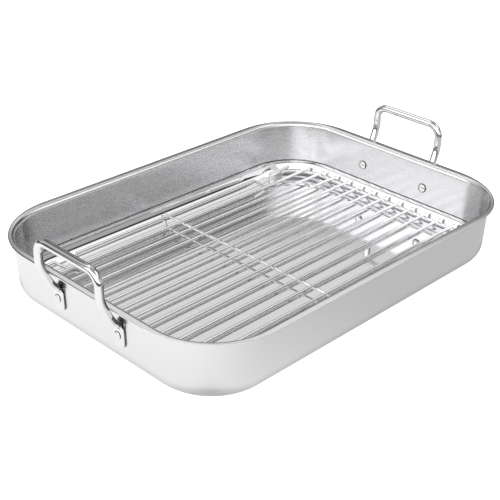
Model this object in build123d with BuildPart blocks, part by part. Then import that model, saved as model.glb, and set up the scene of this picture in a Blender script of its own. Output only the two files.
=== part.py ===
from build123d import *
import os
from math import asin, atan2, cos, degrees, hypot, radians, sin, sqrt, tan

# Roasting pan with two riveted loop handles and a loose wire rack.
# Millimetres. The origin is the middle of the pan's underside, +X runs along
# the pan to its right handle, +Y to its back and +Z up.

os.makedirs("parts", exist_ok=True)

# Pan: one pressed steel sheet
pan_height = 58
body_length = 385
body_width = 275
body_corner_radius = 56
wall_draft_angle = 2
sheet_thickness = 1.2
bottom_bend_radius = 17.5
rim_lip = 7.5
rim_corner_lip = 4
rim_bend_radius = 3
rim_edge_radius = 0.4

# Handles: a bent rod whose ends are forged flat
rod_diameter = 7.2
handle_span = 75.5
handle_stand_off = 9
handle_rise = 33.5
handle_corner_radius = 11.5
upper_bend_rise = 8.5
upper_bend_radius = 24
lower_bend_radius = 17
straight_above_bend = 2
tab_width = 20
tab_thickness = 2.4
tab_below_rivet = 10
tab_seat_gap = 0.03
neck_thickness = 3.8
neck_rim_gap = 0.5
forging_step = 0.1
plug_depth = 1
flare_low_share = 0.4
flare_high_share = 0.82
tab_end_share = 0.12
tab_end_width_share = 0.5
leg_station_shares = (0, 0.02, 0.06, 0.12, 0.24, 0.29, 0.34, 0.4, 0.48, 0.56, 0.64, 0.7, 0.76, 0.82, 0.88, 0.94, 1)
neck_thickness_share = 0.98

# Rivets: two for each handle, with domed heads on both sides
rivet_drop = 26
shank_diameter = 5
shank_clearance = 0.05
outer_head_diameter = 7.4
outer_head_height = 1.7
inner_head_diameter = 8.6
inner_head_height = 2.3

# Rack: long wires welded on three cross bars
wire_diameter = 3
wire_count = 15
wire_height_over_floor = 9.5
wire_end_gap = 3.4
wire_end_chamfer = 0.4
rack_side_gap = 14.2
outer_wire_spacing = 18.4
weld_gap = 0.05
foot_from_end = 40
foot_top_width = 24
foot_bottom_width = 6
foot_lean = 7.4
foot_bend_radius = 3.8
foot_floor_gap = 0.3
end_bar_gap = 5.2
end_bar_overhang = 0.8
middle_bar_gap = 0.9

# Cuts run this far past the faces that they leave
cut_overrun = 2

# Worked out from the sizes above
draft = radians(wall_draft_angle)
half_length = body_length / 2
half_width = body_width / 2
corner_centre_x = half_length - body_corner_radius
corner_centre_y = half_width - body_corner_radius
wall_inset = sheet_thickness / cos(draft)
inner_bottom_radius = bottom_bend_radius - sheet_thickness
rim_length = body_length + 2 * rim_lip
rim_width = body_width + 2 * rim_lip
half_diagonal = sqrt(0.5)
rim_corner_radius = body_corner_radius + (rim_lip - rim_corner_lip * half_diagonal) / (1 - half_diagonal)
wire_radius = wire_diameter / 2
wire_level = sheet_thickness + wire_height_over_floor
bar_level = wire_level - wire_diameter - weld_gap
foot_level = sheet_thickness + foot_floor_gap + wire_radius


def inner_inset(height):
    """How far the inner surface at this height stands inside the outline of the body's top."""
    slope = wall_inset + (pan_height - height) * tan(draft)
    over_floor = height - sheet_thickness
    if over_floor >= inner_bottom_radius:
        return slope
    rise = inner_bottom_radius - over_floor
    return slope + inner_bottom_radius - sqrt(inner_bottom_radius**2 - rise**2)


def reach_along(y, inset):
    """Half length, at this y, of the outline that stands inset inside the body's top outline."""
    past_centre = abs(y) - corner_centre_y
    if past_centre <= 0:
        return half_length - inset
    return corner_centre_x + sqrt((body_corner_radius - inset) ** 2 - past_centre**2)


def wall_face_x(height):
    """X of the right end wall's outer face at this height."""
    return half_length - (pan_height - height) * tan(draft)


# Rivet places: on the flat of each end wall, square to its draft
rivet_level = pan_height - rivet_drop
rivet_places = {"front": -handle_span / 2, "back": handle_span / 2}


def rivet_plane(end, y):
    """Plane on the end wall's outer face at a rivet, its normal pointing out of the pan."""
    return Plane(
        origin=(end * wall_face_x(rivet_level), y, rivet_level),
        x_dir=(0, 1, 0),
        z_dir=(end * cos(draft), 0, -sin(draft)),
    )


# The pan's inside, taken out of the pressed body below
with BuildPart() as pan_hollow:
    with BuildSketch(Plane.XY.offset(pan_height)):
        RectangleRounded(
            body_length - 2 * wall_inset,
            body_width - 2 * wall_inset,
            body_corner_radius - wall_inset,
        )
    extrude(amount=-(pan_height - sheet_thickness), taper=wall_draft_angle)
    fillet(pan_hollow.faces().sort_by(Axis.Z)[0].edges(), radius=inner_bottom_radius)

# Pan body: tapered walls, a large bend to the floor and a flat rim bent outwards
with BuildPart() as pan_body:
    with BuildSketch(Plane.XY.offset(pan_height)):
        RectangleRounded(body_length, body_width, body_corner_radius)
    extrude(amount=-pan_height, taper=wall_draft_angle)
    with BuildSketch(Plane.XY.offset(pan_height)):
        RectangleRounded(rim_length, rim_width, rim_corner_radius)
    extrude(amount=-sheet_thickness)
    rim_underside = pan_body.faces().filter_by(Plane.XY).sort_by(Axis.Z)[1]
    fillet(rim_underside.inner_wires()[0].edges(), radius=rim_bend_radius)
    fillet(pan_body.faces().sort_by(Axis.Z)[0].edges(), radius=bottom_bend_radius)
    add(pan_hollow.part, mode=Mode.SUBTRACT)
    rim_top = pan_body.faces().sort_by(Axis.Z)[-1]
    fillet(rim_top.inner_wires()[0].edges(), radius=rim_bend_radius + sheet_thickness)
    rim_faces = pan_body.faces().filter_by(Plane.XY).sort_by(Axis.Z)[-2:]
    fillet([edge for face in rim_faces for edge in face.outer_wire().edges()], radius=rim_edge_radius)
    for end in (-1, 1):
        for y in rivet_places.values():
            with BuildSketch(rivet_plane(end, y)):
                Circle(shank_diameter / 2 + shank_clearance)
            extrude(amount=sheet_thickness + cut_overrun, both=True, mode=Mode.SUBTRACT)

pan_body.part.label = "pan_body"
export_step(pan_body.part, "parts/pan_body.step")

# Handle places: the leg's slanted run passes the rim's lower edge at its gap
handle_reach = rim_length / 2 + handle_stand_off
upper_bend_level = pan_height + upper_bend_rise
handle_top = pan_height + handle_rise
edge_run = handle_reach - rim_length / 2
edge_drop = upper_bend_level - (pan_height - sheet_thickness)
edge_distance = hypot(edge_run, edge_drop)
run_angle = atan2(edge_run, edge_drop) - asin((neck_rim_gap + neck_thickness / 2) / edge_distance)
tab_foot_x = wall_face_x(0) + (tab_seat_gap + tab_thickness / 2) / cos(draft)
run_slope = tan(run_angle)
lower_bend_level = (upper_bend_level * run_slope - handle_reach + tab_foot_x) / (run_slope - tan(draft))
leg_top = upper_bend_level + upper_bend_radius * tan(run_angle / 2) + straight_above_bend


def tab_x(height):
    """X of the tab's middle plane, which lies along the wall."""
    return tab_foot_x + height * tan(draft)


# Middle line of one leg: up the wall, out past the rim and upright again
tab_bottom = rivet_level - tab_below_rivet
with BuildLine(Plane.XZ) as leg_line:
    FilletPolyline(
        (tab_x(tab_bottom), tab_bottom),
        (tab_x(lower_bend_level), lower_bend_level),
        (handle_reach, upper_bend_level),
        (handle_reach, leg_top),
        radius=(lower_bend_radius, upper_bend_radius),
    )
leg_path = leg_line.wire()


def leg_section(share):
    """Width and thickness of the leg at this share of its length: flat low down, round at the top."""
    flare = min(max((flare_high_share - share) / (flare_high_share - flare_low_share), 0), 1)
    forged = flare**2 * (3 - 2 * flare)
    wide = rod_diameter - forging_step
    thick = wide * neck_thickness_share
    short_of_end = 1 - min(share / tab_end_share, 1)
    end_narrowing = sqrt(1 - short_of_end**2 * (1 - tab_end_width_share**2))
    return wide * (tab_width / wide) ** forged * end_narrowing, thick * (tab_thickness / thick) ** forged


def leg_plane(share, y):
    """Plane square to the leg's middle line at this share of its length."""
    place = leg_path @ share
    return Plane(origin=(place.X, y, place.Z), x_dir=(0, 1, 0), z_dir=leg_path % share)


# Right handle: the rod's loop, two forged legs and their rivet holes
with BuildPart() as handle_right:
    with BuildLine(Plane.YZ.offset(handle_reach)) as loop_line:
        FilletPolyline(
            (-handle_span / 2, leg_top - plug_depth),
            (-handle_span / 2, handle_top),
            (handle_span / 2, handle_top),
            (handle_span / 2, leg_top - plug_depth),
            radius=handle_corner_radius,
        )
    with BuildSketch(Plane(origin=loop_line.wire() @ 0, z_dir=loop_line.wire() % 0)):
        Circle(rod_diameter / 2)
    sweep(path=loop_line.wire())
    for y in rivet_places.values():
        for share in leg_station_shares:
            with BuildSketch(leg_plane(share, y)):
                SlotOverall(*leg_section(share))
        loft(ruled=True)
    for y in rivet_places.values():
        with BuildSketch(rivet_plane(1, y)):
            Circle(shank_diameter / 2 + shank_clearance)
        extrude(amount=tab_thickness + cut_overrun, both=True, mode=Mode.SUBTRACT)

handle_right.part.label = "handle_right"
export_step(handle_right.part, "parts/handle_right.step")

# Left handle: the same, turned to the other end
with BuildPart() as handle_left:
    mirror(handle_right.part, about=Plane.YZ)

handle_left.part.label = "handle_left"
export_step(handle_left.part, "parts/handle_left.step")

# Rivets: a shank through tab and wall between a flat-domed and a full-domed head
for end_name, end in (("left", -1), ("right", 1)):
    for place_name, y in rivet_places.items():
        seat = rivet_plane(end, y)
        profile_plane = Plane(origin=seat.origin, x_dir=seat.x_dir, z_dir=seat.x_dir.cross(seat.z_dir))
        grip = tab_thickness + 2 * tab_seat_gap
        with BuildPart() as rivet:
            with BuildSketch(profile_plane):
                with BuildLine():
                    inner_apex = (0, -sheet_thickness - inner_head_height)
                    outer_apex = (0, grip + outer_head_height)
                    TangentArc(inner_apex, (inner_head_diameter / 2, -sheet_thickness), tangent=(1, 0))
                    Polyline(
                        (inner_head_diameter / 2, -sheet_thickness),
                        (shank_diameter / 2, -sheet_thickness),
                        (shank_diameter / 2, grip),
                        (outer_head_diameter / 2, grip),
                    )
                    TangentArc(outer_apex, (outer_head_diameter / 2, grip), tangent=(1, 0))
                    Line(outer_apex, inner_apex)
                make_face()
            revolve(axis=Axis(seat.origin, seat.z_dir))
        name = f"rivet_{end_name}_{place_name}"
        rivet.part.label = name
        export_step(rivet.part, f"parts/{name}.step")

# Wire places: the outer wires stand at their gap from the walls, the others evenly between
outer_wire_y = half_width - inner_inset(wire_level) - rack_side_gap
side_count = (wire_count - 1) // 2
wire_pitch = (outer_wire_y - outer_wire_spacing) / (side_count - 1)
wire_places = [-outer_wire_y]
wire_places += [step * wire_pitch for step in range(1 - side_count, side_count)]
wire_places += [outer_wire_y]

# Rack wires: straight and cut to the pan's rounded ends, the outer two bent down into feet
for number, y in enumerate(wire_places, start=1):
    wire_end = reach_along(y, inner_inset(wire_level) + wire_end_gap)
    with BuildPart() as rack_wire:
        if number in (1, wire_count):
            foot_x = wire_end - foot_from_end
            foot_y = y - foot_lean * (1 if y > 0 else -1)
            half_foot = [
                (foot_x - foot_top_width / 2, y, wire_level),
                (foot_x - foot_bottom_width / 2, foot_y, foot_level),
                (foot_x + foot_bottom_width / 2, foot_y, foot_level),
                (foot_x + foot_top_width / 2, y, wire_level),
                (wire_end, y, wire_level),
            ]
            with BuildLine() as wire_line:
                FilletPolyline(
                    *[(-x, place_y, level) for x, place_y, level in reversed(half_foot)],
                    *half_foot,
                    radius=foot_bend_radius,
                )
            with BuildSketch(Plane(origin=wire_line.wire() @ 0, z_dir=wire_line.wire() % 0)):
                Circle(wire_radius)
            sweep(path=wire_line.wire())
        else:
            with BuildSketch(Plane(origin=(0, y, wire_level), x_dir=(0, 1, 0), z_dir=(1, 0, 0))):
                Circle(wire_radius)
            extrude(amount=wire_end, both=True)
        end_faces = rack_wire.faces().filter_by(GeomType.PLANE).sort_by(Axis.X)
        chamfer([*end_faces[0].edges(), *end_faces[-1].edges()], length=wire_end_chamfer)
    name = f"rack_wire_{number:02d}"
    rack_wire.part.label = name
    export_step(rack_wire.part, f"parts/{name}.step")

# End cross bars: straight across, then curved with the pan's corners to under the outer wires
end_bar_x = half_length - inner_inset(bar_level) - end_bar_gap
end_bar_corner = end_bar_x - corner_centre_x
end_bar_turn = degrees(asin((outer_wire_y + end_bar_overhang - corner_centre_y) / end_bar_corner))
with BuildPart() as rack_crossbar_right:
    with BuildLine(Plane.XY.offset(bar_level)) as bar_line:
        CenterArc((corner_centre_x, -corner_centre_y), end_bar_corner, -end_bar_turn, end_bar_turn)
        Line((end_bar_x, -corner_centre_y), (end_bar_x, corner_centre_y))
        CenterArc((corner_centre_x, corner_centre_y), end_bar_corner, 0, end_bar_turn)
    with BuildSketch(Plane(origin=bar_line.wire() @ 0, z_dir=bar_line.wire() % 0)):
        Circle(wire_radius)
    sweep(path=bar_line.wire())
    bar_ends = rack_crossbar_right.faces().filter_by(GeomType.PLANE)
    chamfer(bar_ends.edges(), length=wire_end_chamfer)

rack_crossbar_right.part.label = "rack_crossbar_right"
export_step(rack_crossbar_right.part, "parts/rack_crossbar_right.step")

with BuildPart() as rack_crossbar_left:
    mirror(rack_crossbar_right.part, about=Plane.YZ)

rack_crossbar_left.part.label = "rack_crossbar_left"
export_step(rack_crossbar_left.part, "parts/rack_crossbar_left.step")

# Middle cross bar: straight, and the longest, to keep the rack in the middle of the pan
middle_bar_reach = half_width - inner_inset(bar_level - wire_radius) - middle_bar_gap
with BuildPart() as rack_crossbar_middle:
    with BuildSketch(Plane.XZ.shift_origin((0, 0, bar_level))):
        Circle(wire_radius)
    extrude(amount=middle_bar_reach, both=True)
    bar_ends = rack_crossbar_middle.faces().filter_by(GeomType.PLANE)
    chamfer(bar_ends.edges(), length=wire_end_chamfer)

rack_crossbar_middle.part.label = "rack_crossbar_middle"
export_step(rack_crossbar_middle.part, "parts/rack_crossbar_middle.step")
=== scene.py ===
# %% [markdown]
# A stainless steel roasting pan with two riveted loop handles and a loose wire rack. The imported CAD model
# is the frame: every piece below takes its place from it and stands where the CAD node stands. The lesson
# goes from the frame to the surfaces, then to the steel finishes, the studio and the camera.

import math

import bpy
import numpy as np
from mathutils import Matrix, Vector


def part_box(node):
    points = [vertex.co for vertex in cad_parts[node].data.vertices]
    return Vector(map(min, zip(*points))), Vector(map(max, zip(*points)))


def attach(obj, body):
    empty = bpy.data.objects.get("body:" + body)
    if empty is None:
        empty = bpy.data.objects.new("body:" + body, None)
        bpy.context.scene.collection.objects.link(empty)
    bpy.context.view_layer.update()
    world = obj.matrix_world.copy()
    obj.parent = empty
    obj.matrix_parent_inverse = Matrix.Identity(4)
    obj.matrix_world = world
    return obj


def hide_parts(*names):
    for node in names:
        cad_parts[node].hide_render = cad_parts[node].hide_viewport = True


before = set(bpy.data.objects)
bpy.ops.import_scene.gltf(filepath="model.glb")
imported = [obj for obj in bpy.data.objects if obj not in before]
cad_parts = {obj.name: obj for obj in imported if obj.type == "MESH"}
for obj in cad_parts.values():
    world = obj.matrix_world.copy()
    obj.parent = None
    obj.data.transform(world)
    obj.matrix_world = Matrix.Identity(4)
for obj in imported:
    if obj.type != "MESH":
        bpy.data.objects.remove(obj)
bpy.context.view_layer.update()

# %% [markdown]
# Every piece of this object is a ring of points carried along a line: the pan's outline carried along its
# cross-section, a rod's round carried along its bends, a rivet's round carried along its profile. So one
# function makes every mesh. It takes a grid of rings, joins neighbouring rings with quads, and closes
# each end with a fan of triangles. The indices come from whole-array arithmetic, which is quick and easy
# to check.


# %% A closed mesh from a grid of rings
def ring_mesh(name, rings, start_pole, end_pole, finishes, finish_of_quad=None, crease=35):
    """rings is a (rows, columns, 3) array, closed around its columns. Quad (r, c) has the corners (r, c),
    (r, c + 1), (r + 1, c + 1) and (r + 1, c), and a fan from each pole closes the first and the last ring.
    The UV map holds the distance around, measured on the widest ring, and the distance along, in metres.
    finish_of_quad gives each quad's place in the list of finishes, in an array that fits
    (rows - 1, columns)."""
    rows, columns = rings.shape[:2]
    index = np.arange(rows * columns).reshape(rows, columns)
    beside = np.roll(index, -1, axis=1)
    quads = np.stack([index[:-1], beside[:-1], beside[1:], index[1:]], axis=-1).reshape(-1, 4)
    first, last = rows * columns, rows * columns + 1
    start_fan = np.stack([np.full(columns, first), beside[0], index[0]], axis=-1)
    end_fan = np.stack([np.full(columns, last), index[-1], beside[-1]], axis=-1)
    points = np.concatenate([rings.reshape(-1, 3), [start_pole, end_pole]])

    steps_around = np.linalg.norm(np.roll(rings, -1, axis=1) - rings, axis=2)
    widest = steps_around[np.argmax(steps_around.sum(axis=1))]
    around = np.concatenate([[0], np.cumsum(widest)])
    steps_along = np.linalg.norm(np.diff(rings, axis=0), axis=2).mean(axis=1)
    along = np.concatenate([[0], np.cumsum(steps_along)])
    quad_u = np.stack([around[:-1], around[1:], around[1:], around[:-1]], axis=-1)
    quad_u = np.broadcast_to(quad_u, (rows - 1, columns, 4))
    quad_v = np.stack([along[:-1], along[:-1], along[1:], along[1:]], axis=-1)
    quad_v = np.broadcast_to(quad_v[:, None, :], (rows - 1, columns, 4))
    start_u = np.stack([around[:-1], around[1:], around[:-1]], axis=-1)
    end_u = np.stack([around[:-1], around[:-1], around[1:]], axis=-1)
    all_u = np.concatenate([quad_u.ravel(), start_u.ravel(), end_u.ravel()])
    start_v = np.full(start_u.size, along[0])
    end_v = np.full(end_u.size, along[-1])
    all_v = np.concatenate([quad_v.ravel(), start_v, end_v])

    mesh = bpy.data.meshes.new(name)
    mesh.from_pydata(points, [], quads.tolist() + start_fan.tolist() + end_fan.tolist())
    layer = mesh.uv_layers.new(name="unrolled")
    layer.data.foreach_set("uv", np.stack([all_u, all_v], axis=-1).astype(np.float32).ravel())
    for finish in finishes:
        mesh.materials.append(finish)
    if finish_of_quad is not None:
        slots = np.broadcast_to(finish_of_quad, (rows - 1, columns))
        slots = np.concatenate([slots.ravel(), slots[0], slots[-1]])
        mesh.polygons.foreach_set("material_index", slots.astype(np.int32))
    mesh.polygons.foreach_set("use_smooth", np.ones(len(mesh.polygons), bool))
    centre = rings.reshape(-1, 3).mean(axis=0)
    mesh.update()
    mesh.validate()
    face_outwards(mesh)
    mesh.set_sharp_from_angle(angle=math.radians(crease))
    piece = bpy.data.objects.new(name, mesh)
    bpy.context.scene.collection.objects.link(piece)
    print(f"{name}: {len(points)} points, middle at {np.round(1000 * centre, 1)} mm")
    return piece


def face_outwards(mesh):
    """Turns every face outwards. The signed volume, a sixth of the sum of the triangles' triple products,
    is negative where a closed mesh is inside out."""
    mesh.calc_loop_triangles()
    corners = np.empty(3 * len(mesh.loop_triangles), np.int32)
    mesh.loop_triangles.foreach_get("vertices", corners)
    points = np.empty(3 * len(mesh.vertices), np.float32)
    mesh.vertices.foreach_get("co", points)
    a, b, c = points.reshape(-1, 3)[corners.reshape(-1, 3)].astype(float).transpose(1, 0, 2)
    if np.einsum("ij,ij->i", a, np.cross(b, c)).sum() < 0:
        mesh.flip_normals()


def settle(piece, body, slot, *nodes):
    """The piece rides on its body and stands for its CAD nodes. The slot argument is not used."""
    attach(piece, body)
    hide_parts(*nodes)


# %% [markdown]
# Stainless steel is a metal shader with a grey base colour. What tells one steel part from another is how
# it was finished: the pan's floor is polished like a mirror, its walls have a fine satin grain, its rim
# is smoother, and the rods and wires are bright. Shade is painted on with a near-black steel: in the gap
# between a forged tab and the wall, under the rim, round the rivet heads, and as a painted dark reflection
# where the polish ends. The grain is a noise pattern that drives roughness and a very shallow bump. On
# the pan it is stretched along the way the sheet was rubbed, and reads the mesh's own UV map, so it
# follows the walls round the corners.


# %% Steel finishes
grain_middle = (0.3, 0.7)
blue_share = 1.01


def node_tree(name):
    """A new material with its node tree and its Principled shader, which is all metal."""
    material = bpy.data.materials.new(name)
    material.use_nodes = True
    tree = material.node_tree
    shader = tree.nodes["Principled BSDF"]
    shader.inputs["Metallic"].default_value = 1
    return material, tree, shader


def stretched_noise(tree, source, scale, detail=4):
    """Noise on the named coordinates, squeezed by a scale for each axis."""
    coordinates = tree.nodes.new("ShaderNodeTexCoord")
    mapping = tree.nodes.new("ShaderNodeMapping")
    mapping.inputs["Scale"].default_value = scale
    noise = tree.nodes.new("ShaderNodeTexNoise")
    noise.inputs["Scale"].default_value = 1
    noise.inputs["Detail"].default_value = detail
    tree.links.new(coordinates.outputs[source], mapping.inputs["Vector"])
    tree.links.new(mapping.outputs["Vector"], noise.inputs["Vector"])
    return noise.outputs["Fac"]


def spread_over(tree, factor, low, high):
    """Carries the middle of a grain's range over to low and high."""
    spread = tree.nodes.new("ShaderNodeMapRange")
    spread.inputs["From Min"].default_value = grain_middle[0]
    spread.inputs["From Max"].default_value = grain_middle[1]
    spread.inputs["To Min"].default_value = low
    spread.inputs["To Max"].default_value = high
    tree.links.new(factor, spread.inputs["Value"])
    return spread.outputs["Result"]


def steel(name, grey, roughness, grain_scale, grain_depth, roughness_spread, source="UV"):
    """Steel of one grey, with a grain that varies its roughness and lifts it by grain_depth metres."""
    material, tree, shader = node_tree(name)
    shader.inputs["Base Color"].default_value = (grey, grey, grey * blue_share, 1)
    grain = stretched_noise(tree, source, grain_scale)
    rough = spread_over(tree, grain, roughness - roughness_spread, roughness + roughness_spread)
    tree.links.new(rough, shader.inputs["Roughness"])
    bump = tree.nodes.new("ShaderNodeBump")
    bump.inputs["Strength"].default_value = 1
    bump.inputs["Distance"].default_value = grain_depth
    tree.links.new(grain, bump.inputs["Height"])
    tree.links.new(bump.outputs["Normal"], shader.inputs["Normal"])
    print(f"{name}: grey {grey}, roughness {roughness}")
    return material


satin_steel = steel(
    "satin_steel",
    grey=0.78,
    roughness=0.26,
    grain_scale=(60, 6000, 1),
    grain_depth=1.5e-6,
    roughness_spread=0.03,
)
rim_steel = steel(
    "rim_steel",
    grey=0.8,
    roughness=0.11,
    grain_scale=(60, 6000, 1),
    grain_depth=1e-6,
    roughness_spread=0.02,
)
polished_steel = steel(
    "polished_steel",
    grey=0.75,
    roughness=0.06,
    grain_scale=(40, 900, 1),
    grain_depth=1e-6,
    roughness_spread=0.02,
)
bright_rod_steel = steel(
    "bright_rod_steel",
    grey=0.8,
    roughness=0.05,
    grain_scale=(300, 300, 300),
    grain_depth=1e-6,
    roughness_spread=0.02,
    source="Object",
)
bright_wire_steel = steel(
    "bright_wire_steel",
    grey=0.8,
    roughness=0.08,
    grain_scale=(500, 500, 500),
    grain_depth=1e-6,
    roughness_spread=0.02,
    source="Object",
)
# Painted shade: this near-black steel stands for shade in the gap between tab and wall, under the rim and
# round the rivet heads, and for a dark reflection where the polish ends.
painted_shade_steel = steel(
    "painted_shade_steel",
    grey=0.12,
    roughness=0.3,
    grain_scale=(300, 300, 300),
    grain_depth=1e-6,
    roughness_spread=0.05,
    source="Object",
)
rivet_steel = steel(
    "rivet_steel",
    grey=0.8,
    roughness=0.12,
    grain_scale=(600, 600, 600),
    grain_depth=3e-6,
    roughness_spread=0.03,
    source="Object",
)

# %% [markdown]
# The pan is pressed from one sheet, so its whole skin is one outline carried along one cross-section: out
# over the floor, up the inside, over the rim and back down the outside. These are its sizes, in metres.
# The rim's lip is narrower at the corners, so the rim has a corner radius of its own: the larger circle
# that passes both the lip at the sides and the narrower lip on the diagonal.

# %% Sizes of the pan
_, pan_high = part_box("pan_body")
pan_height = pan_high.z
rim_half = np.array([pan_high.x, pan_high.y])
rim_lip = 0.0075
rim_corner_lip = 0.004
sheet = 0.0012
draft_degrees = 2
draft = math.radians(draft_degrees)
body_corner_radius = 0.056
bottom_bend = 0.0175
rim_bend = 0.003
rim_edge = 0.0004
body_half = rim_half - rim_lip
half_diagonal = math.sqrt(0.5)
rim_corner_radius = body_corner_radius + (rim_lip - rim_corner_lip * half_diagonal) / (1 - half_diagonal)
corner_centre = body_half - body_corner_radius
rim_corner_centre = rim_half - rim_corner_radius
print("rim corner radius:", round(1000 * rim_corner_radius, 1), "mm")

# %% [markdown]
# On a rounded rectangle every inset of the outline keeps the same corner centres, and a point is its
# anchor plus the radius times its direction. The body and the rim each have their own anchors, and share
# the directions.

# %% The outline of the pan
corner_steps = 28
side_steps = 18
corner_count = 4


def outline(centre):
    """Anchors and directions round a rounded rectangle. Each corner turns a quarter about its centre, and
    each side runs from one centre to the next with its direction held."""
    anchors, directions = [], []
    centres = np.array([[1, 1], [-1, 1], [-1, -1], [1, -1]]) * centre
    for quarter in range(corner_count):
        turns = (quarter + np.linspace(0, 1, corner_steps + 1)) * math.pi / 2
        anchors.append(np.repeat(centres[quarter : quarter + 1], len(turns), axis=0))
        directions.append(np.stack([np.cos(turns), np.sin(turns)], axis=-1))
        shares = np.linspace(0, 1, side_steps + 1)[1:-1, None]
        anchors.append(centres[quarter] * (1 - shares) + centres[(quarter + 1) % corner_count] * shares)
        directions.append(np.repeat(directions[-1][-1:], len(shares), axis=0))
    return np.concatenate(anchors), np.concatenate(directions)


body_anchors, outward = outline(corner_centre)
rim_anchors, _ = outline(rim_corner_centre)


def body_ring(inset):
    """The body's outline at its top, moved inwards by inset."""
    return body_anchors + outward * (body_corner_radius - inset)


def rim_ring(inset):
    """The rim's outer edge, moved inwards by inset."""
    return rim_anchors + outward * (rim_corner_radius - inset)


# %% [markdown]
# The cross-section is a list of rings, each at one inset and one height. A bend is an arc: its insets
# follow the sine and its heights the cosine of the turn, or the other way round. The walls lean out by
# the draft, so the inset of a face grows with the depth under the rim.


# %% Rings of the cross-section
def at_height(ring, height):
    """A flat ring lifted to a height."""
    return np.column_stack([ring, np.full(len(ring), height)])


def body_rows(insets, heights):
    """One ring for each inset and height."""
    return [at_height(body_ring(inset), height) for inset, height in zip(insets, heights)]


def bottom_bend_rows(radius, level, face_inset, steps):
    """Rings on the bend between floor and wall: from straight down to square to the drafted wall, about a
    centre that is one radius over the floor and one radius inside the wall."""
    turns = np.linspace(0, math.pi / 2 - draft, steps)
    centre_inset = face_inset(level + radius) + radius / math.cos(draft)
    return body_rows(centre_inset - radius * np.sin(turns), level + radius - radius * np.cos(turns))


def rim_bend_rows(radius, face_inset, top, steps):
    """Rings on the bend between wall and rim: from square to the wall to straight up."""
    turns = np.linspace(draft, math.pi / 2, steps)
    centre_inset = face_inset(top - radius) - radius / math.cos(draft)
    return body_rows(centre_inset + radius * np.cos(turns), top - radius + radius * np.sin(turns))


def inner_face(height):
    """How far the wall's inner face lies inside the body's outline."""
    return (pan_height - height) * math.tan(draft) + sheet / math.cos(draft)


def outer_face(height):
    """How far the wall's outer face lies inside the body's outline."""
    return (pan_height - height) * math.tan(draft)


def floor_rows(edge, steps):
    """Rings from near the middle of a flat floor out to its edge, each the edge's ring times a share."""
    shares = np.linspace(0, 1, steps + 1)[1:-1]
    return [edge * np.array([share, share, 1]) for share in shares]


def between(start, end, shares):
    """Rings between two rings."""
    return list(start[None] * (1 - shares) + end[None] * shares)


# %% [markdown]
# Now the rings are laid end to end. Inside and outside bend about the same centres, one sheet apart, and
# the rim's cut edge is rounded at its top and at its bottom. Each count below says how finely its stretch
# is divided.

# %% The skin of the pan
floor_steps = 10
inner_bend_steps = 20
outer_bend_steps = 18
mouth_steps = 14
underside_steps = 10
rim_steps = 5
edge_steps = 9
wall_steps = 9

inner_bend = bottom_bend - sheet
inner_bend_rows = bottom_bend_rows(inner_bend, sheet, inner_face, inner_bend_steps)
outer_bend_rows = bottom_bend_rows(bottom_bend, 0, outer_face, outer_bend_steps)
mouth_rows = rim_bend_rows(rim_bend + sheet, inner_face, pan_height, mouth_steps)
underside_rows = rim_bend_rows(rim_bend, outer_face, pan_height - sheet, underside_steps)

rim_shares = np.linspace(0, 1, rim_steps)[:, None, None]
edge_turns = np.linspace(math.pi / 2, -math.pi / 2, edge_steps)
rim_top_start, rim_under_start = mouth_rows[-1], underside_rows[-1]
rim_top_end = at_height(rim_ring(rim_edge), pan_height)
rim_under_end = at_height(rim_ring(rim_edge), pan_height - sheet)
edge_heights = np.where(edge_turns > 0, pan_height - rim_edge, pan_height - sheet + rim_edge)
rim_edge_rows = [
    at_height(rim_ring(rim_edge - rim_edge * math.cos(turn)), height + rim_edge * math.sin(turn))
    for turn, height in zip(edge_turns[1:-1], edge_heights[1:-1])
]
wall_shares = np.linspace(0, 1, wall_steps)[1:-1, None, None]

pan_rows = floor_rows(inner_bend_rows[0], floor_steps) + inner_bend_rows
polished_row_count = len(pan_rows)
pan_rows += between(inner_bend_rows[-1], mouth_rows[0], wall_shares) + mouth_rows
rim_start_row = len(pan_rows) - 1
pan_rows += between(rim_top_start, rim_top_end, rim_shares[1:]) + rim_edge_rows
rim_end_row = len(pan_rows)
pan_rows += between(rim_under_end, rim_under_start, rim_shares[:-1])
pan_rows += underside_rows[::-1] + between(underside_rows[0], outer_bend_rows[-1], wall_shares)
pan_rows += outer_bend_rows[::-1] + floor_rows(outer_bend_rows[0], floor_steps)[::-1]

# %% [markdown]
# The floor and the inner bend are polished. The polish ends where the bend meets the wall, in a fine dark
# line, a painted reflection in near-black steel. All the rest is satin but for the rim's top and edge, which
# are smoother.

# %% The finishes of the pan
pan_finishes = [polished_steel, satin_steel, rim_steel, painted_shade_steel]
pan_finish = np.full(len(pan_rows) - 1, pan_finishes.index(satin_steel))
pan_finish[: polished_row_count - 1] = pan_finishes.index(polished_steel)
# Painted reflection: the last polished ring of quads, where the bend meets the wall, is near-black steel for
# a dark reflected line.
pan_finish[polished_row_count - 2] = pan_finishes.index(painted_shade_steel)
pan_finish[rim_start_row:rim_end_row] = pan_finishes.index(rim_steel)
pan_body_skin = ring_mesh(
    "pan_body_skin",
    np.array(pan_rows),
    (0, 0, sheet),
    (0, 0, 0),
    pan_finishes,
    pan_finish[:, None],
)
print("rings of the pan:", len(pan_rows), "of them polished:", polished_row_count)
settle(pan_body_skin, "pan", "pan_steel", "pan_body")

# %% [markdown]
# Handles, wires and cross bars are rods bent on a former: straight runs joined by arcs. The path function
# turns each corner into its tangent arc, and carries a sideways direction round every bend, so that a rod
# that is not round keeps its flat side where it should be.


# %% Bent paths and rods
edge_share = 0.25


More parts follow.
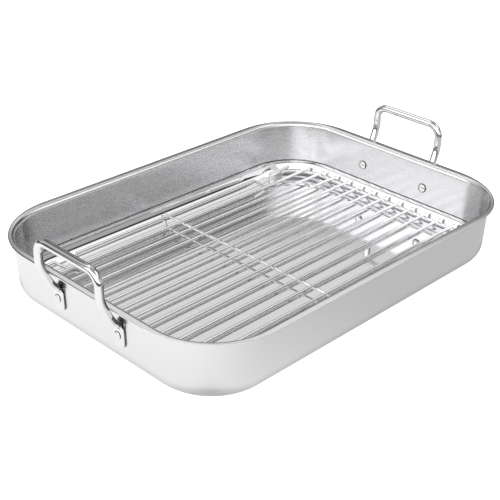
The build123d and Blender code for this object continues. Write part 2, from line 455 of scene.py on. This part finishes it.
def bent_path(corners, radii, side, arc_steps=12, run_steps=4):
    """Places, directions and sideways directions along straight runs joined by tangent arcs.
    On an arc the place is centre + radius * (direction in * sin(turn) - inwards * cos(turn))."""
    corners = np.asarray(corners, float)
    side = np.asarray(side, float)
    places, directions, sides = [], [], []
    start = corners[0]
    for before, corner, after, radius in zip(corners[:-2], corners[1:-1], corners[2:], radii):
        ahead = (corner - before) / np.linalg.norm(corner - before)
        onward = (after - corner) / np.linalg.norm(after - corner)
        turn = math.acos(np.clip(ahead @ onward, -1, 1))
        inwards = onward - (onward @ ahead) * ahead
        inwards /= np.linalg.norm(inwards)
        reach = radius * math.tan(turn / 2)
        arc_start = corner - ahead * reach
        shares = np.linspace(0, 1, run_steps + 1)[:-1, None]
        places.append(start * (1 - shares) + arc_start * shares)
        directions.append(np.repeat(ahead[None], run_steps, axis=0))
        sides.append(np.repeat(side[None], run_steps, axis=0))
        turns = np.linspace(0, turn, arc_steps + 1)[:-1, None]
        centre = arc_start + inwards * radius
        places.append(centre + radius * (ahead * np.sin(turns) - inwards * np.cos(turns)))
        directions.append(ahead * np.cos(turns) + inwards * np.sin(turns))
        across = side @ inwards
        sides.append(side + across * (inwards * (np.cos(turns) - 1) - ahead * np.sin(turns)))
        side = side + across * (inwards * (math.cos(turn) - 1) - ahead * math.sin(turn))
        start = corner + onward * reach
    ahead = (corners[-1] - corners[-2]) / np.linalg.norm(corners[-1] - corners[-2])
    shares = np.linspace(0, 1, run_steps + 1)[:, None]
    places.append(start * (1 - shares) + corners[-1] * shares)
    directions.append(np.repeat(ahead[None], run_steps + 1, axis=0))
    sides.append(np.repeat(side[None], run_steps + 1, axis=0))
    return np.concatenate(places), np.concatenate(directions), np.concatenate(sides)


def rod_rings(path, half_wide, half_thick, columns):
    """A section carried along a path: a round of radius half_thick, spread sideways to half_wide. The spread
    grows from -1 to 1 as c / sqrt(c ** 2 + k ** 2), where c is the turn's cosine, so a wide section is a
    flat bar with rounded edges and a section as wide as thick is a plain round."""
    places, directions, sides = path
    ups = np.cross(directions, sides)
    turns = np.arange(columns) * 2 * math.pi / columns
    spread = np.cos(turns) / np.sqrt(np.cos(turns) ** 2 + edge_share**2) * math.sqrt(1 + edge_share**2)
    x = half_thick[:, None] * np.cos(turns) + (half_wide - half_thick)[:, None] * spread
    y = half_thick[:, None] * np.sin(turns)
    return places[:, None] + x[..., None] * sides[:, None] + y[..., None] * ups[:, None]


def path_distance(places):
    """Distance along the path at each of its places."""
    return np.concatenate([[0], np.cumsum(np.linalg.norm(np.diff(places, axis=0), axis=1))])


# %% [markdown]
# A wire is the same round all along, with its two cut ends lightly rounded.

# %% Wires
wire_end_round = 0.0005
wire_end_steps = 5


def wire_piece(name, path, radius, finish, columns=20):
    """A round wire along a path, with its cut ends slightly rounded: in the last half millimetre the radius
    is radius - round + sqrt(round ** 2 - (round - distance) ** 2)."""
    places, directions, sides = path
    end_distances = wire_end_round * (1 - np.cos(np.linspace(0, math.pi / 2, wire_end_steps)))
    near = places[0] + directions[0] * end_distances[:, None]
    far = places[-1] - directions[-1] * end_distances[::-1, None]
    places = np.concatenate([near, places[1:-1], far])
    copies = np.ones(len(directions), int)
    copies[[0, -1]] = wire_end_steps
    directions = np.repeat(directions, copies, axis=0)
    sides = np.repeat(sides, copies, axis=0)
    distance = path_distance(places)
    from_end = np.minimum(np.minimum(distance, distance[-1] - distance), wire_end_round)
    radii = radius - wire_end_round + np.sqrt(wire_end_round**2 - (wire_end_round - from_end) ** 2)
    rings = rod_rings((places, directions, sides), radii, radii, columns)
    return ring_mesh(name, rings, places[0], places[-1], [finish])


# %% [markdown]
# A handle starts as a round rod. It is bent to a loop, and each end swings in under the rim in two bends.
# There it is hammered to a flat tab that lies on the drafted wall: as the leg gets wider it gets thinner,
# and both follow one smooth flare along the leg. First come the sizes, worked out from the frame, from
# the rivet up to the loop.

# %% Sizes of the handles
rod_radius = 0.0036
handle_span = 0.0755
upper_bend_rise = 0.0085
upper_bend = 0.024
lower_bend = 0.017
loop_bend = 0.0115
tab_width = 0.013
tab_thickness = 0.0024
tab_seat_gap = 0.00003
tab_below_rivet = 0.010
rivet_drop = 0.026
neck_thickness = 0.0038
neck_rim_gap = 0.0005
straight_above_bend = 0.002
node_flare_shares = (0.4, 0.82)
flare_shares = (0.27, 0.47)
tab_end_share = 0.08
tab_end_width_share = 0.8

_, handle_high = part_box("handle_right")
handle_reach = handle_high.x - rod_radius
handle_top = handle_high.z - rod_radius
rivet_level = pan_height - rivet_drop
upper_bend_level = pan_height + upper_bend_rise
edge_run = handle_reach - rim_half[0]
edge_drop = upper_bend_rise + sheet
clear_of_edge = neck_rim_gap + neck_thickness / 2
run_angle = math.atan2(edge_run, edge_drop) - math.asin(clear_of_edge / math.hypot(edge_run, edge_drop))
tab_foot_x = body_half[0] - outer_face(0) + (tab_seat_gap + tab_thickness / 2) / math.cos(draft)
run_slope = math.tan(run_angle)
slope_apart = run_slope - math.tan(draft)
lower_bend_level = (upper_bend_level * run_slope - handle_reach + tab_foot_x) / slope_apart
leg_top = upper_bend_level + upper_bend * math.tan(run_angle / 2) + straight_above_bend
tab_bottom = rivet_level - tab_below_rivet
print("the legs swing in under the rim at", round(math.degrees(run_angle)), "degrees from upright")

# %% [markdown]
# Both legs and the loop are one path, so the rod runs through every bend without a break. Shade falls
# where the tab's edges meet the wall and on the leg in the hollow under the rim, so these quads get
# painted shade: the near-black steel.

# %% Handles
leg_arc_steps = 14
leg_run_steps = 8
rod_columns = 48
flat_share = 0.5
tab_edge_shade_sines = (0.13, 0.7)
past_rim = 0.001
past_wall = 0.003
wall_side_sine = 0.1
hollow_cosine = 0.2
hollow_cosine_growth = 0.7


def leg_corners(y):
    """Corners of one leg's middle line, from the tab's end to the top of the loop."""
    return [
        (tab_foot_x + tab_bottom * math.tan(draft), y, tab_bottom),
        (tab_foot_x + lower_bend_level * math.tan(draft), y, lower_bend_level),
        (handle_reach, y, upper_bend_level),
        (handle_reach, y, handle_top),
    ]


def forged(share, low_share, high_share):
    """1 where the leg is hammered flat, 0 where it is still round, and a smooth step between the shares."""
    flare = np.clip((high_share - share) / (high_share - low_share), 0, 1)
    return flare**2 * (3 - 2 * flare)


def painted_shade_quads(places, sides, half_thick):
    """The quads of a handle that get painted shade: the tab's two edges at the wall, and the leg where it is
    tucked under the rim, in the rim's shade. A turn round the rod has the sine 1 at the side towards the
    wall. Close to the wall the leg's front gets painted shade as well, over a narrower band as the leg
    gets thinner."""
    places, sides, half_thick = places[:-1], sides[:-1], half_thick[:-1, None]
    turns = np.arange(rod_columns) * 2 * math.pi / rod_columns
    middle_sines = np.sin(turns + math.pi / rod_columns)
    flat = half_thick < flat_share * rod_radius
    # Painted shade along the tab's edges, on the side towards the wall.
    in_tab_edge_shade = flat & (middle_sines > tab_edge_shade_sines[0]) & (middle_sines < tab_edge_shade_sines[1])
    from_middle = np.abs(places[:, :1])
    # Painted shade on the leg tucked under the rim: its side towards the wall, and near the wall its front
    # too.
    under_rim = (places[:, 2:] < pan_height - sheet) & (from_middle < rim_half[0] + past_rim) & ~flat
    at_wall = from_middle < body_half[0] + past_wall
    thinned = (1 - half_thick / rod_radius) / flat_share
    at_front = -np.cos(turns) * sides[:, 1:2] > hollow_cosine + hollow_cosine_growth * thinned
    in_hollow_shade = under_rim & ((np.sin(turns) > wall_side_sine) | at_wall & at_front)
    return in_tab_edge_shade | in_hollow_shade


def handle_piece(name, end):
    """The whole handle as one rod, from one tab's end over the loop to the other's. Its side towards the
    wall and the rim is the CAD node's, and the rod keeps its full round further down on the outside."""
    corners = np.array(leg_corners(-handle_span / 2) + leg_corners(handle_span / 2)[::-1])
    bends = [lower_bend, upper_bend, loop_bend, loop_bend, upper_bend, lower_bend]
    places, directions, sides = bent_path(corners, bends, (0, 1, 0), leg_arc_steps, leg_run_steps)
    distance = path_distance(places)
    leg_length = distance[np.argmax(places[:, 2] > leg_top)]
    share = np.minimum(distance, distance[-1] - distance) / leg_length
    short_of_end = 1 - np.minimum(share / tab_end_share, 1)
    narrowing = np.sqrt(1 - short_of_end**2 * (1 - tab_end_width_share**2))
    thinnest = tab_thickness / 2 / rod_radius
    widest = tab_width / 2 / rod_radius
    half_wide = rod_radius * widest ** forged(share, *flare_shares) * narrowing
    half_thick = rod_radius * thinnest ** forged(share, *flare_shares)
    node_half_thick = rod_radius * thinnest ** forged(share, *node_flare_shares)
    places = places - (half_thick - node_half_thick)[:, None] * np.cross(directions, sides)
    rings = rod_rings((places, directions, sides), half_wide, half_thick, rod_columns)
    mirrored = np.array([end, 1, 1])
    piece = ring_mesh(
        name,
        rings * mirrored,
        places[0] * mirrored,
        places[-1] * mirrored,
        # The second finish is the near-black steel of painted shade.
        [bright_rod_steel, painted_shade_steel],
        painted_shade_quads(places, sides, half_thick).astype(int),
    )
    settle(piece, "pan", "handle_steel", name.replace("_rod", ""))


handle_piece("handle_left_rod", -1)
handle_piece("handle_right_rod", 1)

# %% [markdown]
# Each rivet is a shank through tab and wall, closed to a button head at each end, the larger one inside.
# A profile turned about the rivet's axis is the natural way to make it. Only the heads show, each with a
# painted shadow: a dark ring where it meets the steel under it.

# %% Rivets
outer_head = (0.0037, 0.0017)
inner_head = (0.0047, 0.0023)
shank_radius = 0.0025
grip = tab_thickness + 2 * tab_seat_gap
button_power = 2.6
head_steps = 12
spoke_count = 32
painted_shadow_rows_outside = 3
painted_shadow_rows_inside = 6


def button_head(radius, height):
    """Radii and heights of a head from its apex to its edge: (r / radius) ** p + (z / height) ** 2 = 1, with
    p the button's power, which gives a flat top and a steep edge."""
    turns = np.linspace(0, math.pi / 2, head_steps)[1:]
    return radius * np.sin(turns) ** (2 / button_power), height * np.cos(turns)


def rivet_piece(name, end, y):
    """The rivet's profile turned about its axis, which is square to the drafted wall."""
    outer_r, outer_h = button_head(*outer_head)
    inner_r, inner_h = button_head(*inner_head)
    radii = np.concatenate([outer_r, [shank_radius, shank_radius], inner_r[::-1]])
    heights = np.concatenate([grip + outer_h, [grip, -sheet], -sheet - inner_h[::-1]])
    axis = np.array([end * math.cos(draft), 0, -math.sin(draft)])
    across = np.array([0.0, 1, 0])
    upright = np.cross(axis, across)
    seat = np.array([end * (body_half[0] - outer_face(rivet_level)), y, rivet_level])
    turns = np.arange(spoke_count) * 2 * math.pi / spoke_count
    spokes = np.cos(turns)[:, None] * across + np.sin(turns)[:, None] * upright
    rings = seat + heights[:, None, None] * axis + radii[:, None, None] * spokes
    poles = seat + (grip + outer_head[1]) * axis, seat - (sheet + inner_head[1]) * axis
    # Painted shadow: the rows round each head's edge, where it meets the steel under it, get the near-black
    # steel.
    painted_shadow_rows = np.zeros((len(radii) - 1, 1), int)
    painted_shadow_rows[len(outer_r) - painted_shadow_rows_outside : len(outer_r) + painted_shadow_rows_inside] = 1
    piece = ring_mesh(name, rings, *poles, [rivet_steel, painted_shade_steel], painted_shadow_rows)
    settle(piece, "pan", "rivet_steel", name.replace("_turned", ""))


for end_name, end in (("left", -1), ("right", 1)):
    for place_name, y in (("front", -handle_span / 2), ("back", handle_span / 2)):
        rivet_piece(f"rivet_{end_name}_{place_name}_turned", end, y)

# %% [markdown]
# The rack's long wires take their places from the frame: a straight wire's box gives its middle and
# length. The two outermost wires dip to the floor twice each, leaning inwards to stay clear of the pan's
# bottom bend.

# %% Rack wires
wire_count = 15
foot_from_end = 0.040
foot_top_width = 0.024
foot_bottom_width = 0.006
foot_bend = 0.0038
foot_arc_steps = 8
foot_run_steps = 3
wire_radius = 0.0015

for number in range(1, wire_count + 1):
    node = f"rack_wire_{number:02d}"
    low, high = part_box(node)
    if number in (1, wire_count):
        side_sign = 1 if number == wire_count else -1
        wire_y = side_sign * (max(abs(low.y), abs(high.y)) - wire_radius)
        foot_y = side_sign * (min(abs(low.y), abs(high.y)) + wire_radius)
        wire_z, foot_z = high.z - wire_radius, low.z + wire_radius
        foot_x = high.x - foot_from_end
        half = [
            (foot_x - foot_top_width / 2, wire_y, wire_z),
            (foot_x - foot_bottom_width / 2, foot_y, foot_z),
            (foot_x + foot_bottom_width / 2, foot_y, foot_z),
            (foot_x + foot_top_width / 2, wire_y, wire_z),
            (high.x, wire_y, wire_z),
        ]
        corners = [(-x, y, z) for x, y, z in half[::-1]] + half
        bends = [foot_bend] * (len(corners) - 2)
        path = bent_path(corners, bends, (0, 1, 0), foot_arc_steps, foot_run_steps)
    else:
        middle = (low + high) / 2
        path = bent_path([(low.x, middle.y, middle.z), (high.x, middle.y, middle.z)], [], (0, 1, 0))
    piece = wire_piece(f"{node}_round", path, wire_radius, bright_wire_steel)
    settle(piece, "rack", "rack_steel", node)

# %% [markdown]
# Three cross bars carry the wires. The middle one is straight. The end ones turn back with the pan's
# corners until they reach the outermost wires.

# %% Cross bars
low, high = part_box("rack_crossbar_middle")
bar_z = (low.z + high.z) / 2
path = bent_path([(0, low.y, bar_z), (0, high.y, bar_z)], [], (1, 0, 0))
piece = wire_piece("rack_crossbar_middle_round", path, wire_radius, bright_wire_steel)
settle(piece, "rack", "rack_steel", "rack_crossbar_middle")

low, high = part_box("rack_crossbar_right")
end_bar_x = high.x - wire_radius
end_bar_corner = end_bar_x - corner_centre[0]
end_bar_overhang = 0.0008
end_bar_steps = 16
outer_wire_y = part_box("rack_wire_15")[1].y - wire_radius
end_bar_turn = math.asin((outer_wire_y + end_bar_overhang - corner_centre[1]) / end_bar_corner)


def end_bar_path(end):
    """An arc, a straight run and the arc mirrored, all in one level plane."""
    turns = np.linspace(end_bar_turn, 0, end_bar_steps)
    arc_x = corner_centre[0] + end_bar_corner * np.cos(turns)
    arc_y = corner_centre[1] + end_bar_corner * np.sin(turns)
    x = end * np.concatenate([arc_x, arc_x[::-1]])
    y = np.concatenate([arc_y, -arc_y[::-1]])
    directions = np.stack([end * np.sin(turns), -np.cos(turns), 0 * turns], axis=-1)
    directions = np.concatenate([directions, directions[::-1] * np.array([-1, 1, 1])])
    return np.column_stack([x, y, np.full(len(x), bar_z)]), directions, np.tile((0.0, 0, 1), (len(x), 1))


for end_name, end in (("left", -1), ("right", 1)):
    piece = wire_piece(f"rack_crossbar_{end_name}_round", end_bar_path(end), wire_radius, bright_wire_steel)
    settle(piece, "rack", "rack_steel", f"rack_crossbar_{end_name}")

# %% [markdown]
# Steel has no look of its own: it shows the room. So the room is made with care. The camera sees plain
# white. The metal sees a dim room with soft white panels in it, each a patch of the sky with its own
# level. Where two patches overlap, their levels add up. Dark gaps between them draw the dark lines along
# the rods and wires. A polished corner sweeps over half the room, so each wall of the room shows as a
# band in one of the pan's corners. Azimuth 0 is +X and 90 degrees is +Y.

# %% Studio world
world = bpy.data.worlds.new("studio")
bpy.context.scene.world = world
world.use_nodes = True
room = world.node_tree
room.nodes.clear()


def room_math(operation, *values):
    """A math node on sockets or numbers."""
    node = room.nodes.new("ShaderNodeMath")
    node.operation = operation
    for socket, value in zip(node.inputs, values):
        if isinstance(value, (int, float)):
            socket.default_value = value
        else:
            room.links.new(value, socket)
    return node.outputs["Value"]


def fade(value, edge, softness):
    """1 while value is below the edge and 0 above it, over a smooth step twice the softness wide."""
    node = room.nodes.new("ShaderNodeMapRange")
    node.interpolation_type = "SMOOTHSTEP"
    node.inputs["From Min"].default_value = edge - softness
    node.inputs["From Max"].default_value = edge + softness
    node.inputs["To Min"].default_value = 1
    node.inputs["To Max"].default_value = 0
    room.links.new(value, node.inputs["Value"])
    return node.outputs["Result"]


direction = room.nodes.new("ShaderNodeTexCoord")
parts = room.nodes.new("ShaderNodeSeparateXYZ")
room.links.new(direction.outputs["Generated"], parts.inputs["Vector"])
azimuth = room_math("ARCTAN2", parts.outputs["Y"], parts.outputs["X"])
elevation = room_math("ARCSINE", parts.outputs["Z"])


# %% [markdown]
# Each panel is listed with its level and its place: the azimuth's middle and half width, the elevation's
# middle and half width, and the softness of its edge, all in degrees. The ceiling goes all the way round.


# %% Panels of the room
def panel(azimuth_middle, azimuth_half, elevation_middle, elevation_half, softness):
    """How far a direction lies within a panel: one fade by azimuth times one by elevation."""
    soft = math.radians(softness)
    from_middle = room_math("SUBTRACT", azimuth, math.radians(azimuth_middle))
    turned = room_math("WRAP", from_middle, math.pi, -math.pi)
    raised = room_math("SUBTRACT", elevation, math.radians(elevation_middle))
    across = fade(room_math("ABSOLUTE", turned), math.radians(azimuth_half), soft)
    upwards = fade(room_math("ABSOLUTE", raised), math.radians(elevation_half), soft)
    return room_math("MULTIPLY", across, upwards)


dim_room = 0.02
room_panels = (
    ("left wall", 1.7, (163, 14, 30, 24, 3)),
    ("left wall, near half", 2.5, (199, 22, 30, 24, 2)),
    ("left back wall", 2.5, (142, 8, 31, 25, 3)),
    ("back wall", 0.7, (113, 15, 30, 22, 3)),
    ("back wall, dim", 0.35, (86, 12, 24, 21, 4)),
    ("back wall, low", 0.5, (66, 8, 14, 12, 4)),
    ("right back window", 1.08, (36, 22, 40, 13, 2)),
    ("under the window", 0.25, (42, 15, 19, 7, 2)),
    ("front right wall, high", 1.6, (-48, 27, 51, 15, 3)),
    ("front right wall, low", 0.6, (-48, 27, 14, 13, 3)),
    ("right wall, high", 1.5, (-14, 9, 49, 13, 2)),
    ("right wall, dim", 0.25, (4, 9, 49, 13, 2)),
    ("front wall", 1.0, (-84, 9, 30, 25, 3)),
    ("front left corner", 1.8, (-116, 23, 30, 25, 3)),
    ("far table at the right", 0.5, (-40, 60, 2, 6, 3)),
    ("skylight", 1.6, (82, 24, 58, 11, 3)),
    ("ceiling", 0.5, (0, 200, 74, 17, 6)),
)
room_level = dim_room
for panel_name, panel_level, panel_place in room_panels:
    room_level = room_math("ADD", room_math("MULTIPLY", panel(*panel_place), panel_level), room_level)
    print(f"{panel_name}: level {panel_level}, azimuth {panel_place[0]}, elevation {panel_place[2]}")

# %% [markdown]
# The light path tells the camera's rays from all others, so the picture's background is white.

# %% White for the camera, the room for the steel
room_light = room.nodes.new("ShaderNodeBackground")
room.links.new(room_level, room_light.inputs["Strength"])
seen_white = room.nodes.new("ShaderNodeBackground")
seen_white.inputs["Color"].default_value = (1, 1, 1, 1)
choose = room.nodes.new("ShaderNodeMixShader")
light_path = room.nodes.new("ShaderNodeLightPath")
world_out = room.nodes.new("ShaderNodeOutputWorld")
room.links.new(light_path.outputs["Is Camera Ray"], choose.inputs["Fac"])
room.links.new(room_light.outputs["Background"], choose.inputs[1])
room.links.new(seen_white.outputs["Background"], choose.inputs[2])
room.links.new(choose.outputs["Shader"], world_out.inputs["Surface"])

# %% [markdown]
# The floor is white paper under the pan. To the camera it is white, less what the pan keeps from it. The
# metal sees it as a glow with light and shade painted in: a painted pool of light round the pan, fading
# with distance as a table does under a lamp, brighter at the left, where the largest light comes from,
# and a painted shadow close to the pan's foot.

# %% Floor
floor_reach = 6.0
fading_distances = (0.42, 0.8)
fading_levels = (1, 0.1)
bright_side = (-0.97, 0.2, 0)
bright_side_distances = (-0.1, 0.3)
bright_side_levels = (0.62, 1.16)
foot_distances = (0, 0.03)
foot_levels = (0.6, 1)
paper_glow = 0.8
paper_white = (0.9, 0.9, 0.9, 1)

floor_mesh = bpy.data.meshes.new("floor")
floor_corners = floor_reach * np.array([(-1, -1, 0), (1, -1, 0), (1, 1, 0), (-1, 1, 0)], float)
floor_mesh.from_pydata(floor_corners, [], [(0, 1, 2, 3)])
floor = bpy.data.objects.new("floor", floor_mesh)
bpy.context.scene.collection.objects.link(floor)
floor_paper = bpy.data.materials.new("floor_paper")
floor_paper.use_nodes = True
paper = floor_paper.node_tree
paper.nodes.clear()


def paper_range(value, distances, levels):
    """Carries a distance in metres over to a level, by a smooth step between two distances."""
    node = paper.nodes.new("ShaderNodeMapRange")
    node.interpolation_type = "SMOOTHSTEP"
    for socket, number in zip(("From Min", "From Max", "To Min", "To Max"), (*distances, *levels)):
        node.inputs[socket].default_value = number
    paper.links.new(value, node.inputs["Value"])
    return node.outputs["Result"]


def paper_vector(operation, first, second=None):
    """A vector math node on a socket and, where it needs one, a constant vector."""
    node = paper.nodes.new("ShaderNodeVectorMath")
    node.operation = operation
    paper.links.new(first, node.inputs[0])
    if second is not None:
        node.inputs[1].default_value = second
    return node.outputs


def paper_product(first, second):
    """Two levels multiplied."""
    node = paper.nodes.new("ShaderNodeMath")
    node.operation = "MULTIPLY"
    paper.links.new(first, node.inputs[0])
    paper.links.new(second, node.inputs[1])
    return node.outputs["Value"]


# %% [markdown]
# The distance past the pan's foot is the length of what is left of a place once the foot's half sizes are
# taken off: sqrt(max(|x| - a, 0) ** 2 + max(|y| - b, 0) ** 2).

# %% Light on the floor
paper_place = paper.nodes.new("ShaderNodeTexCoord").outputs["Object"]
# A painted pool of light: brightest round the pan and brighter at the left.
fading = paper_range(paper_vector("LENGTH", paper_place)["Value"], fading_distances, fading_levels)
to_bright_side = paper_vector("DOT_PRODUCT", paper_place, bright_side)["Value"]
side_light = paper_range(to_bright_side, bright_side_distances, bright_side_levels)
foot_half = (body_half[0] - bottom_bend, body_half[1] - bottom_bend, 0)
beside_pan = paper_vector("ABSOLUTE", paper_place)["Vector"]
past_foot = paper_vector("SUBTRACT", beside_pan, foot_half)["Vector"]
past_foot = paper_vector("MAXIMUM", past_foot, (0, 0, 0))["Vector"]
foot_shade = paper_range(paper_vector("LENGTH", past_foot)["Value"], foot_distances, foot_levels)
# The glow the metal sees: the painted pool of light times the painted shadow at the pan's foot.
paper_level = paper_product(paper_product(fading, side_light), foot_shade)

paper_seen_by_metal = paper.nodes.new("ShaderNodeEmission")
paper.links.new(paper_level, paper_seen_by_metal.inputs["Strength"])
paper_shine = paper.nodes.new("ShaderNodeEmission")
paper_shine.inputs["Strength"].default_value = paper_glow
paper_lit = paper.nodes.new("ShaderNodeBsdfDiffuse")
paper_lit.inputs["Color"].default_value = paper_white
paper_seen = paper.nodes.new("ShaderNodeAddShader")
paper_choice = paper.nodes.new("ShaderNodeMixShader")
paper_rays = paper.nodes.new("ShaderNodeLightPath")
paper_out = paper.nodes.new("ShaderNodeOutputMaterial")
paper.links.new(paper_shine.outputs["Emission"], paper_seen.inputs[0])
paper.links.new(paper_lit.outputs["BSDF"], paper_seen.inputs[1])
paper.links.new(paper_rays.outputs["Is Glossy Ray"], paper_choice.inputs["Fac"])
paper.links.new(paper_seen.outputs["Shader"], paper_choice.inputs[1])
paper.links.new(paper_seen_by_metal.outputs["Emission"], paper_choice.inputs[2])
paper.links.new(paper_choice.outputs["Shader"], paper_out.inputs["Surface"])
floor_mesh.materials.append(floor_paper)

# %% [markdown]
# The camera was found by a fit to the photograph: to the outline of the rim and the walls, the rivets and
# the rack's wires. It stands in front and to the left, looks down by 28.5 degrees and is tilted by a
# little over one degree.

# %% Camera
sensor_width = 36
nearest, farthest = 0.01, 50
frame_pixels = 500
focal_pixels = 1094.07
camera_place = Vector((-0.628118, -0.597005, 0.489630))
camera_yaw, camera_pitch, camera_roll = 0.801181, 0.498036, 0.021874
ahead = Vector(
    (
        math.sin(camera_yaw) * math.cos(camera_pitch),
        math.cos(camera_yaw) * math.cos(camera_pitch),
        -math.sin(camera_pitch),
    )
)
level_right = Vector((math.cos(camera_yaw), -math.sin(camera_yaw), 0))
level_up = level_right.cross(ahead)
right = math.cos(camera_roll) * level_right + math.sin(camera_roll) * level_up
up = math.cos(camera_roll) * level_up - math.sin(camera_roll) * level_right
camera_data = bpy.data.cameras.new("camera")
camera = bpy.data.objects.new("camera", camera_data)
bpy.context.scene.collection.objects.link(camera)
camera_data.sensor_width = sensor_width
camera_data.lens = sensor_width * focal_pixels / frame_pixels
camera_data.clip_start = nearest
camera_data.clip_end = farthest
turned = Matrix((right, up, -ahead)).transposed().to_4x4()
camera.matrix_world = Matrix.Translation(camera_place) @ turned
bpy.context.scene.camera = camera
bpy.context.scene.view_settings.view_transform = "Standard"
